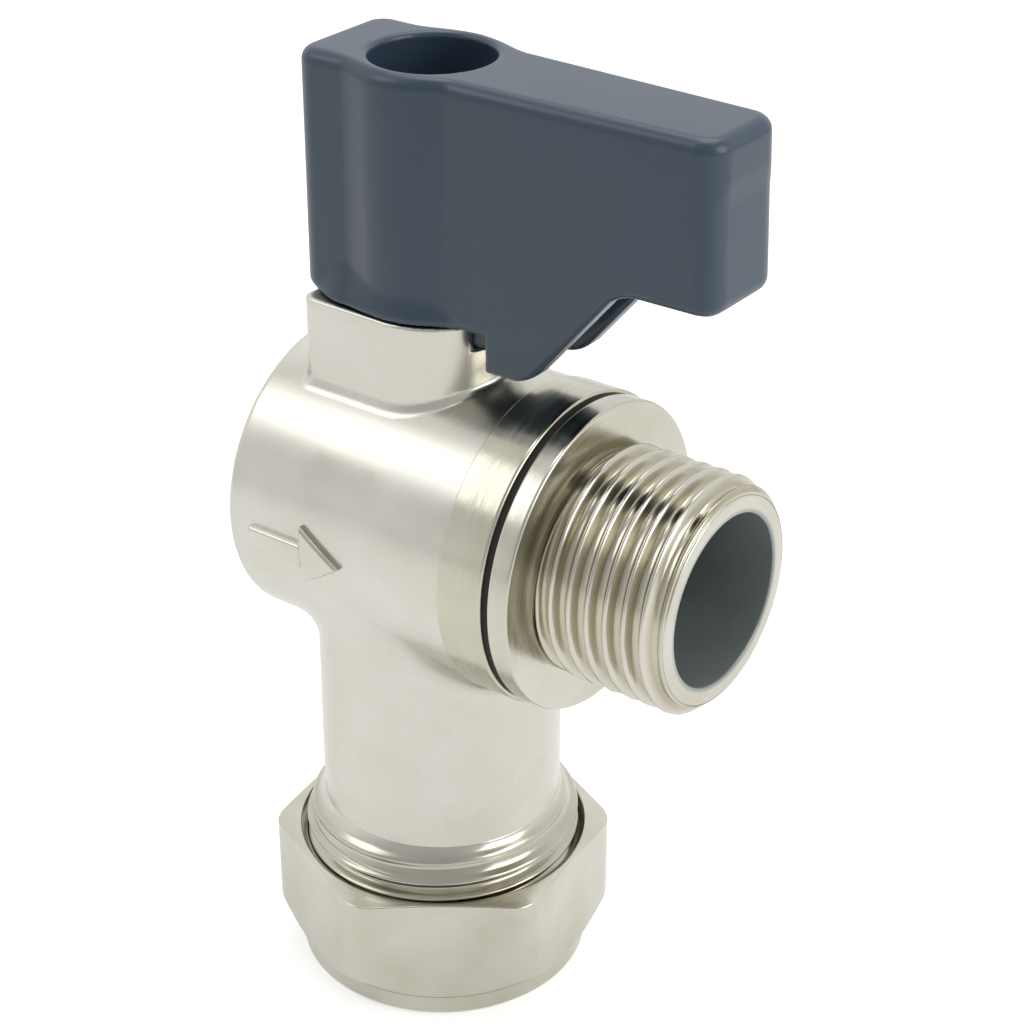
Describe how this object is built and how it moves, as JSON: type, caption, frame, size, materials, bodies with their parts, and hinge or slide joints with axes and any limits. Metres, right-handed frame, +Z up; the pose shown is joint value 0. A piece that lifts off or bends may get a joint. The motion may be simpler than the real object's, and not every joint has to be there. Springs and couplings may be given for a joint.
{
  "type": "angled isolation valve",
  "caption": "Right-angled water isolation valve with a quarter-turn lever, a male threaded outlet to the side and a compression nut for copper pipe below.",
  "frame": {"origin": "centre of the pipe hole in the foot of the compression nut, on the stem axis", "axes": "+Z up the inlet and stem axis, +X out of the threaded outlet, +Y to the far side of the lever"},
  "size_m": [0.0455, 0.0318, 0.09],
  "materials": {
    "plated_brass_body": "nickel plate over a satin forging",
    "plated_brass_turned": "nickel plate over turned brass",
    "black_fibre": "matt",
    "chromed_ball": "polished chrome plate",
    "white_seat": "waxy white",
    "bare_brass": "bright turned brass",
    "black_rubber": "matt",
    "slate_plastic": "fine satin moulding",
    "zinc_steel": "bright zinc plate"
  },
  "bodies": {
    "valve_body": {"valve_body": "plated_brass_body", "outlet_connector": "plated_brass_turned", "connector_gasket": "black_fibre", "outlet_seat": "white_seat", "rear_seat": "white_seat"},
    "lever": {"lever_handle": "slate_plastic", "handle_screw": "zinc_steel", "handle_spring_washer": "zinc_steel", "stem": "bare_brass", "stem_thrust_washer": "white_seat", "stem_o_ring_lower": "black_rubber", "stem_o_ring_upper": "black_rubber", "ball": "chromed_ball"},
    "olive": {"olive": "bare_brass"},
    "nut": {"compression_nut": "plated_brass_turned"}
  },
  "joints": [
    {"name": "lever_turn", "type": "hinge", "parent": "valve_body", "child": "lever", "pos_m": [0, 0, 0.0486], "axis": [0, 0, 1], "range_deg": [0, 90]},
    {"name": "olive_travel", "type": "slide", "parent": "valve_body", "child": "olive", "axis": [0, 0, -1], "range_m": [0, 0.00545]},
    {"name": "nut_turn", "type": "hinge", "parent": "olive", "child": "nut", "pos_m": [0, 0, 0.007], "axis": [0, 0, -1], "range_deg": [0, 1080]}
  ],
  "couplings": [
    {"joint": "olive_travel", "follows": "nut_turn", "m_per_rad": 0.00028871}
  ]
}
